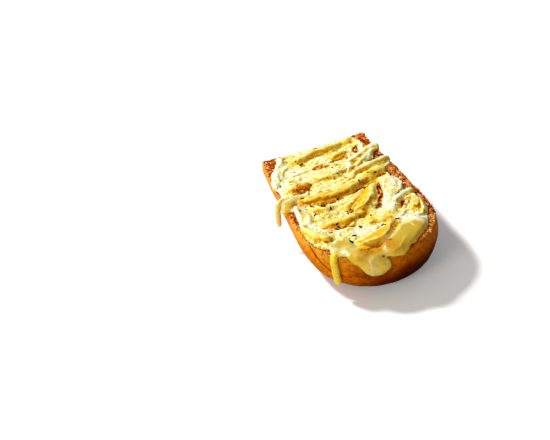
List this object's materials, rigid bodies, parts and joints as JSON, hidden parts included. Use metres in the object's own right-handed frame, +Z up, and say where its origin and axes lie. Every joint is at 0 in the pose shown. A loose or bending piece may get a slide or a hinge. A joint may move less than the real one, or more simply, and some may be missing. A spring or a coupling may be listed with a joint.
{
  "type": "cheesy garlic toastie",
  "caption": "Toasted half of a long soft roll with one round end and one cut end, its cut face covered with melted cheese shreds, glossy runs over the rim and dried herb flecks.",
  "frame": {"origin": "middle of the flat spot on the crust that the roll rests on, under the centre of the bounding box", "axes": "+Z up out of the toasted face, +Y along the roll towards its knife-cut end, -Y towards its round end, +X to the right seen from the round end"},
  "size_m": [0.0826, 0.1536, 0.0305],
  "materials": {
    "toasted_bread": "baked golden brown crust, granular toasted face",
    "melted_cheese": "pale yellow melted cheese, glossy where it ran"
  },
  "bodies": {
    "root": {"bread": "toasted_bread", "melted_cheese": "melted_cheese"}
  },
  "joints": []
}
